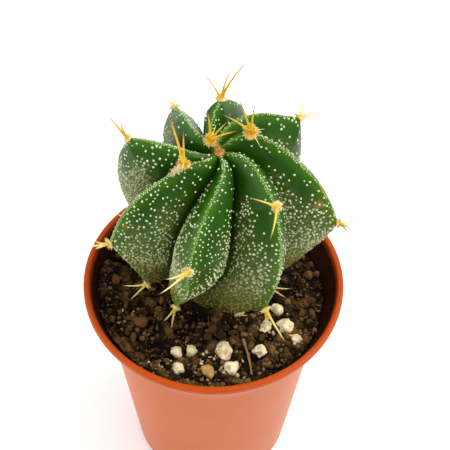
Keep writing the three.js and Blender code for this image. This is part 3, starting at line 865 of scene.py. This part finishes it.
def add_tuft(bundle, rng, place, out, side, radius, pad_tones, brown=0.0):
    """A flat lumpy pad with short tangled hairs that lie outwards over its edge."""
    middle, rim = pad_tones
    down = np.cross(out, side)
    polar = np.linspace(0.12, 0.6 * math.pi, TUFT_RINGS)
    angle = -bearings(TUFT_STEPS)[None, :, None]
    around = np.cos(angle) * side + 0.8 * np.sin(angle) * down
    flat = np.sin(polar)[:, None, None] * around + np.cos(polar)[:, None, None] * out * PAD_HEIGHT
    pad = (place + flat * radius).reshape(-1, 3)
    pad += (pad - place) * 0.22 * noise(pad, 0.5, 41)[:, None]
    ends = [place + out * radius * PAD_HEIGHT, place - out * radius * 0.25]
    depth = np.repeat(middle + (rim - middle) * smooth(polar, 0.3, 1.3), TUFT_STEPS)
    bundle.add(np.concatenate([pad, ends]), ring_faces(TUFT_RINGS, TUFT_STEPS),
               depth=np.append(depth, [middle, rim]), brown=brown)
    share = np.linspace(0, 1, 5)
    for _ in range(int(HAIRS_BY_AREA * radius ** 2) + LEAST_HAIRS):
        polar = math.acos(rng.uniform(-0.1, 0.9))
        angle = rng.uniform(0, 2 * math.pi)
        flat_way = side * math.cos(angle) + 0.8 * down * math.sin(angle)
        rise = out * math.cos(polar)
        root = place + (flat_way * math.sin(polar) + PAD_HEIGHT * rise) * radius * 0.92
        length = rng.uniform(*HAIR_LENGTHS)
        curl = unit(rng.normal(0, 1, 3)) * 0.5 * length
        line = root + unit(flat_way + 0.6 * rise) * (share * length)[:, None] + curl * (share ** 2)[:, None]
        points, faces = tube(line, HAIR_RADIUS * (1 - 0.7 * share), 3)
        root_depth = middle + (rim - middle) * math.sin(polar)
        depth = root_depth + 0.3 * np.append(np.repeat(share, 3), [0, 1])
        bundle.add(points, faces, depth=depth, brown=brown)


def make_wool():
    rng = np.random.default_rng(SEED + 2)
    bundle = Bundle()
    for rib, way, radius, _ in AREOLES:
        place, out, _, side = areole_frame(rib, way)
        add_tuft(bundle, rng, place, out, side, radius, YOUNG_PAD if radius > YOUNG_WOOL else OLD_PAD)
    for rib, way, radius in WOOL_TRAILS:
        place, out, _, side = areole_frame(rib, way)
        add_tuft(bundle, rng, place - out * 0.25, out, side, radius, TRAIL_PAD)
    top = placed(0.0, CREST[0][1], 0.0)
    right, _, up = np.eye(3)
    for *offset, radius in CROWN_WOOL:
        add_tuft(bundle, rng, top + offset, up, right, radius, OLD_PAD, 1.0)
    bundle.piece("cactus_wool", wool_material(), "cactus_skin", "cactus")


# Pot

def pot_material():
    """Thin plastic: orange-red at the lip, and paler where light comes through the wall."""
    made = Material("pot_plastic", 0.36, 0.14, Subsurface_Weight=0.15, Subsurface_Scale=1.2 * MM)
    lip = made.spread(made.height(), (LIP_FOOT - 0.3) * MM, (LIP_FOOT + 0.3) * MM)
    # Painted shade: the wall turns greyer pink over the 5 mm under the lip
    under_lip_shade = made.spread(made.height(), (LIP_FOOT - 5.0) * MM, LIP_FOOT * MM)
    wall = made.mix(made.noise(14.0, 2.0), *POT_WALL)
    color = made.mix(lip, made.layered(wall, (under_lip_shade, 0.5, POT_UNDER_LIP_SHADE)), POT_LIP)
    dust = made.spread(made.noise(0.7, 4.0, 0.7), 0.64, 0.8)
    return made.finish(made.layered(color, (dust, 0.12, POT_DUST)), made.noise(0.25, 2.0), 0.012)


def pot_inside_material():
    """The inner wall, with painted shade that makes it nearly black below the lip."""
    made = Material("pot_inside", 0.7, 0.1)
    ragged = made.math("MULTIPLY", made.noise(1.6, 4.0), 1.2 * MM)
    shade_edge = made.math("ADD", made.height(), ragged)
    # Painted shade: only a ragged band at the top keeps the lip's colour, and below it the inside is nearly
    # black
    lit_top = made.spread(shade_edge, (POT_HEIGHT - 1.2) * MM, (POT_HEIGHT + 0.4) * MM)
    inside_shade = made.mix(made.noise(0.9, 5.0, 0.7), *POT_INSIDE_SHADE)
    return made.finish(made.mix(lit_top, inside_shade, POT_LIP), made.noise(0.5, 5.0, 0.7), 0.06)


def wall_radius(height):
    """The pot's outer radius: straight up to the flare, then out towards the lip."""
    flare = RIM_RADIUS - LIP_WIDTH - STRAIGHT_RADIUS
    straight = BASE_RADIUS + (STRAIGHT_RADIUS - BASE_RADIUS) * height / POT_HEIGHT
    return straight + flare * smooth(height, FLARE_START, POT_HEIGHT)


def arc(centre, radius, start, end, steps):
    """Points along a round corner, with angles in degrees from outward."""
    angle = np.radians(np.linspace(start, end, steps))
    return [(centre[0] + radius * math.cos(a), centre[1] + radius * math.sin(a)) for a in angle]


def pot_outline():
    """Radius and height up the inside from the floor, over the lip and down the outside."""
    inner = wall_radius(POT_HEIGHT) - WALL
    lip_middle = RIM_RADIUS - LIP_ROUND
    inside = [(r, FLOOR) for r in (*FLOOR_RINGS, wall_radius(FLOOR) - WALL - 0.6)]
    inside += [(wall_radius(z) - WALL, z) for z in np.linspace(FLOOR + 0.6, FLARE_START - 2, 5)]
    inside += [(wall_radius(z) - WALL, z) for z in np.linspace(FLARE_START, POT_HEIGHT - 0.8, 12)]
    inside += arc((inner + LIP_ROUND, POT_HEIGHT - LIP_ROUND), LIP_ROUND, 180, 100, 5)
    outside = [(inner + LIP_ROUND, POT_HEIGHT)]
    outside += arc((lip_middle, POT_HEIGHT - LIP_ROUND), LIP_ROUND, 90, 0, 6)
    outside += arc((lip_middle, LIP_FOOT + LIP_ROUND), LIP_ROUND, 0, -90, 6)
    outside += [(wall_radius(z), z) for z in np.linspace(LIP_FOOT - 0.15, FLARE_START - 1, 14)]
    outside += [(wall_radius(z), z) for z in np.linspace(FLARE_START - 4, FOOT_ROUND + 1, 6)]
    outside += arc((wall_radius(FOOT_ROUND) - FOOT_ROUND, FOOT_ROUND), FOOT_ROUND, 0, -90, 7)
    outside += [(r, 0.0) for r in (14.5, *reversed(FLOOR_RINGS))]
    return np.array(inside + outside)


def make_pot():
    radius, height = pot_outline().T[:, :, None]
    points = around_axis(radius, bearings(POT_SEGMENTS), height).reshape(-1, 3)
    points = np.concatenate([points, [[0, 0, FLOOR], [0, 0, 0]]])
    faces = ring_faces(len(radius), POT_SEGMENTS)
    pot = new_piece("pot_shell", points, faces, pot_material(), "pot", {})
    cut_drain_holes(pot)
    shade_inside(pot)


def shade_inside(pot):
    """Give the faces of the inner wall and floor the material with painted shade."""
    pot.data.materials.append(pot_inside_material())
    for face in pot.data.polygons:
        x, y, z = face.center / MM
        if FLOOR - 0.1 < z < POT_HEIGHT - 0.25 and math.hypot(x, y) < wall_radius(z) - 0.5 * WALL:
            face.material_index = 1


def cut_drain_holes(pot):
    drills = []
    for bearing in bearings(DRAIN_HOLES):
        place = around_axis(DRAIN_CIRCLE * MM, bearing, 0.0)
        bpy.ops.mesh.primitive_cylinder_add(
            vertices=32, radius=DRAIN_RADIUS * MM, depth=4 * FLOOR * MM, location=place,
            rotation=(0.0, 0.0, DRILL_TURN))
        drills.append(bpy.context.object)
        cut = pot.modifiers.new("drain", "BOOLEAN")
        cut.operation = "DIFFERENCE"
        cut.object = bpy.context.object
        cut.solver = "EXACT"
    apply_modifiers(pot)
    for drill in drills:
        bpy.data.objects.remove(drill)


def apply_modifiers(piece):
    depsgraph = bpy.context.evaluated_depsgraph_get()
    mesh = bpy.data.meshes.new_from_object(piece.evaluated_get(depsgraph))
    piece.modifiers.clear()
    piece.data = mesh


# Soil and what lies in it

# Crumbs as usual half size, number and fineness
CRUMBS = ((0.2, 2400, 1), (0.42, 820, 2), (0.8, 220, 2))
FIBRES = 60
# Patches of pale grit: x, y, radius in millimetres, and number of bits
GRIT_PATCHES = ((15.0, -9.0, 3.6, 60), (1.0, -17.0, 6.0, 80), (-10.0, -17.0, 3.0, 24),
                (-19.0, -6.0, 4.0, 24))
GRIT_SIZES = (0.15, 0.45)
# Tones of crumbs, and how common each is
CRUMB_TONES = (0.0, 0.12, 0.45, 0.9)
CRUMB_TONE_SHARES = (0.4, 0.2, 0.24, 0.16)
FIBRE_LENGTHS = (1.5, 4.0)
FIBRE_RADII = (0.05, 0.1)
# Flat faces broken off each grain, and the shares of its reach at which they lie
CHIPS = 12
CHIP_REACHES = (0.62, 0.9)
GRAIN_RISE = 0.36
GRAIN_LUMPS = ((0.45, 1.5, 74), (0.24, 0.8, 72), (0.12, 0.35, 73))


def bank_share(x, y):
    """The share of the bank's height on the side where a place lies."""
    return 0.5 - 0.5 * x / np.maximum(np.hypot(x, y), 1.0)


def soil_level(x, y):
    """The level of the soil without its crumbs, banked up against the wall on the left."""
    return SOIL_LEVEL + BANK_HEIGHT * bank_share(x, y) * smooth(np.hypot(x, y), BANK_START, BANK_END)


def soil_relief(x, y):
    """How far the soil's crumbly surface rises, from about -1 to 1, calm near the stem."""
    flat = np.stack([x, y, 0 * x], axis=-1)
    return lumps(flat, SOIL_LUMPS) * smooth(np.hypot(x - STEM_X, y - STEM_Y), STEM_FOOT, STEM_FOOT + 4)


def soil_height(x, y):
    return soil_level(x, y) + CRUMB_HEIGHT * soil_relief(x, y) - 0.1


def soil_material():
    """Dark potting soil, with painted shade that blackens its hollows; tone runs from black mould through
    brown bits to tan ones.
    """
    made = Material("soil", 0.95, 0.1)
    tone = made.value("tone")
    grain = made.noise(0.5, 5.0, 0.7)
    patch = made.spread(made.noise(4.0, 4.0, 0.6), 0.46, 0.66)
    mould = made.layered(made.mix(grain, *MOULD_AND_SHADE), (patch, 0.7, SOIL_BROWN))
    # Painted shade blackens the soil's hollows
    mould = made.mix(made.value("deep"), mould, MOULD_AND_SHADE[0])
    bits = made.mix(grain, *SOIL_BIT)
    bits = made.mix(made.spread(tone, 0.9, 1.3), bits, PUMICE[0])
    return made.finish(made.mix(tone, mould, bits), grain, 0.2)


def make_soil():
    rng = np.random.default_rng(SEED + 3)
    start = STEM_FOOT - 0.6
    share = np.linspace(0, 1, SOIL_RINGS)[:, None]
    bearing = bearings(SOIL_SECTORS)
    away_x, away_y = np.cos(bearing), np.sin(bearing)
    rim_height = SOIL_LEVEL + BANK_HEIGHT * bank_share(away_x, away_y)
    edge = wall_radius(rim_height - 0.6) - WALL - 0.1
    x = ((1 - share) * (STEM_X + start * away_x) + share * edge * away_x).ravel()
    y = ((1 - share) * (STEM_Y + start * away_y) + share * edge * away_y).ravel()
    points = np.stack([x, y, soil_height(x, y)], axis=-1)
    sides = []
    for height in (*np.linspace(rim_height - 1.4, FLARE_START, 4), SOIL_FOOT):
        radius = wall_radius(height) - WALL - SOIL_GAP
        sides.append(around_axis(radius, bearing, height))
    hole_foot = placed(HOLE_RADIUS, -HOLE_DEPTH, bearing)
    ends = [placed(0.0, -HOLE_DEPTH, 0.0), [0.0, 0.0, SOIL_FOOT]]
    # Painted shade: how far the soil's hollows are blackened
    deep = smooth(-soil_relief(x, y), 0.0, 0.7)
    unseen = np.zeros(len(sides) * SOIL_SECTORS + len(ends))
    deep = np.concatenate([np.ones(SOIL_SECTORS), deep, unseen])
    body = Bundle()
    body.add(np.concatenate([hole_foot, points, *sides, ends]),
             ring_faces(1 + SOIL_RINGS + len(sides), SOIL_SECTORS), tone=0.0, deep=deep)
    for size, count, level in CRUMBS:
        for _ in range(count):
            add_crumb(body, rng, size * rng.uniform(0.7, 1.4), level)
    for x, y, spread, count in GRIT_PATCHES:
        for _ in range(count):
            add_grit(body, rng, x, y, spread)
    for _ in range(FIBRES):
        add_fibre(body, rng)
    body.piece("soil_body", soil_material(), "soil", "soil")


def add_fibre(bundle, rng):
    """A thin curled bit of root or peat fibre on the soil."""
    x, y = crumb_place(rng, 2.0)
    turn = rng.uniform(0, 2 * math.pi)
    length = rng.uniform(*FIBRE_LENGTHS)
    share = np.linspace(-0.5, 0.5, 6)
    bend = rng.uniform(-0.5, 0.5) * (0.25 - share ** 2)
    line_x = x + length * (share * math.cos(turn) - bend * math.sin(turn))
    line_y = y + length * (share * math.sin(turn) + bend * math.cos(turn))
    line = np.stack([line_x, line_y, soil_height(line_x, line_y) + 0.12], axis=-1)
    points, faces = tube(line, rng.uniform(*FIBRE_RADII) * (1.1 - np.abs(share)), 4)
    bundle.add(points, faces, tone=rng.uniform(0.3, 1.0), deep=0.0)


def grain_places():
    """The middle and reach of each grain, chip and stretch of the straw, seen from above."""
    places = []
    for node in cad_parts:
        low, high = (np.array(corner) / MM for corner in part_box(node))
        if node.startswith(("pumice", "bark")):
            places.append((*(low + high)[:2] / 2, (high - low)[:2].mean() / 2))
        if node == "straw":
            places += [(x, y, 0.5) for x, y in np.linspace((low[0], high[1]), (high[0], low[1]), 8)]
    return np.array(places)


def crumb_place(rng, margin):
    """A random place on the soil, clear of the stem, the wall, the grains and the straw."""
    while True:
        x, y = rng.uniform(-RIM_RADIUS, RIM_RADIUS, 2)
        edge = wall_radius(soil_level(x, y)) - WALL - SOIL_GAP
        from_stem = math.hypot(x - STEM_X, y - STEM_Y)
        clear = from_stem > STEM_FOOT + 1.0 + margin and from_grains(x, y, 0.8) > 0.5 * margin
        if clear and math.hypot(x, y) < edge - 0.7 * margin:
            return x, y


def from_grains(x, y, cover):
    """How far a place lies from the nearest grain, of whose reach cover counts."""
    return (np.hypot(x - GRAIN_PLACES[:, 0], y - GRAIN_PLACES[:, 1]) - cover * GRAIN_PLACES[:, 2]).min()


def taken(piece):
    """Points, normals and faces of an object, which is then removed."""
    points = np.array([v.co for v in piece.data.vertices])
    normals = np.array([v.normal for v in piece.data.vertices])
    faces = np.array([p.vertices for p in piece.data.polygons])
    bpy.data.objects.remove(piece)
    return points, normals, faces


def ball(level):
    """Points and triangles of a unit ball made from an icosahedron."""
    bpy.ops.mesh.primitive_ico_sphere_add(subdivisions=level, radius=1.0)
    points, _, faces = taken(bpy.context.object)
    return points, faces


BALLS = {level: ball(level) for level in (1, 2)}
GRAIN_PLACES = grain_places()


def add_crumb(bundle, rng, size, level):
    x, y = crumb_place(rng, size * 1.3)
    tone = rng.choice(CRUMB_TONES, p=CRUMB_TONE_SHARES) * min(1, 0.42 / size)
    add_bit(bundle, rng, x, y, size, level, tone)


def add_grit(bundle, rng, x, y, spread):
    """A pale bit of grit, on or near the middle of its patch."""
    x, y = np.array([x, y]) + rng.normal(0, 0.5 * spread, 2)
    size = rng.uniform(*GRIT_SIZES)
    if from_grains(x, y, 1.0) > -0.3 and math.hypot(x, y) < BANK_END - 1.3 * size - 0.6:
        add_bit(bundle, rng, x, y, size, 2, rng.uniform(0.8, 1.3))


def add_bit(bundle, rng, x, y, size, level, tone):
    """A lumpy broken bit of soil or grit that lies on the soil."""
    points, faces = BALLS[level]
    offset = rng.uniform(0, 100, 3)
    swell = 1 + 0.3 * noise(points + offset, 0.9, 61)
    half = size * rng.uniform(0.5, 1.4, 3)
    spin = Matrix.Rotation(rng.uniform(0, 6.28), 3, "Z") @ Matrix.Rotation(rng.uniform(0, 1.5), 3, "X")
    shaped = (points * swell[:, None] * half) @ np.array(spin)
    z = soil_height(np.array([x]), np.array([y]))[0] + 0.15 * size
    bundle.add(shaped + np.array([x, y, z]), [faces], tone=tone, deep=0.0)


def grain_material(name, colors, dirt_shade_color):
    """A porous grain, darkened in its pits and where it sinks into the soil, partly by soil stuck on it and
    partly by painted shade.
    """
    made = Material(name, 0.9, 0.15)
    grime = made.spread(made.noise(1.8, 5.0, 0.65), 0.48, 0.64)
    color = made.layered(made.mix(made.noise(0.9, 4.0, 0.6), *colors), (grime, 0.4, dirt_shade_color))
    return made.finish(made.mix(made.value("dirt_and_shade"), color, dirt_shade_color), made.noise(0.3, 4.0, 0.7), 0.12)


def fine_copy(node, levels):
    """Points in millimetres, normals and faces of a CAD node, smoothed and divided."""
    piece = new_object(node + "_copy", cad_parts[node].data.copy())
    piece.modifiers.new("weld", "WELD").merge_threshold = 1e-6
    divide = piece.modifiers.new("divide", "SUBSURF")
    divide.levels = levels
    divide.render_levels = levels
    apply_modifiers(piece)
    points, normals, faces = taken(piece)
    return points / MM, normals, faces


def chipped(points, seed):
    """A grain's points with flat faces broken off in random directions."""
    rng = np.random.default_rng(seed)
    middle = points.mean(axis=0)
    for direction in unit(rng.normal(0, 1, (CHIPS, 3))):
        reach = (points - middle) @ direction
        excess = np.maximum(reach - rng.uniform(*CHIP_REACHES) * reach.max(), 0)
        points = points - excess[:, None] * direction
    return points


def make_grains():
    pumice = grain_material("pumice", PUMICE, PUMICE_DIRT_AND_SHADE)
    bark = grain_material("bark", BARK, BARK_DIRT_AND_SHADE)
    amber = grain_material("amber_bark", AMBER, BARK[1])
    for node in sorted(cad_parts):
        if node.startswith("pumice"):
            make_grain(node, pumice, 1.0)
        if node.startswith("bark"):
            make_grain(node, amber if node == "bark_chip_1" else bark, 0.35)


def make_grain(node, material, squeeze):
    """A finer, more broken form of a grain, whose lumps are drawn out where squeeze is below 1."""
    points, normals, faces = fine_copy(node, 3)
    points = chipped(points, SEED + int(node[-1]))
    stretched = points * [1.0, squeeze, 1.0]
    pits = np.maximum(noise(stretched, 0.9, 71) - 0.35, 0)
    rise = GRAIN_RISE + lumps(stretched, GRAIN_LUMPS) - 0.4 * pits
    shaped = points + normals * rise[:, None]
    # Soil dirt and painted shade: darker in the pits and where the grain sinks into the soil
    buried = soil_level(shaped[:, 0], shaped[:, 1]) + 0.5 + 0.5 * noise(shaped, 0.8, 75) - shaped[:, 2]
    dirt_and_shade = np.maximum(np.clip(pits, 0, 0.5), smooth(buried, -0.5, 0.4))
    new_piece(node + "_fine", shaped, [faces], material, node, {"dirt_and_shade": dirt_and_shade})


def make_straw():
    low, high = (np.array(corner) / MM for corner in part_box("straw"))
    height = (low[2] + high[2]) / 2
    share = np.linspace(0, 1, 24)
    start = np.array([low[0] + 0.3, high[1], height])
    end = np.array([high[0] - 0.3, low[1], height])
    line = start + (end - start) * share[:, None]
    line[:, 0] += 0.25 * np.sin(math.pi * share)
    points, faces = tube(line, 0.34 - 0.16 * share + 0.03 * np.sin(14 * share), 10)
    made = Material("straw", 0.7, 0.5)
    material = made.finish(made.mix(made.noise(0.5, 4.0, 0.6), *STRAW))
    new_piece("straw_stalk", points, faces, material, "straw", {})


make_camera()
make_lights()
make_floor()
make_stem()
make_flecks()
make_spines()
make_wool()
make_pot()
make_soil()
make_grains()
make_straw()
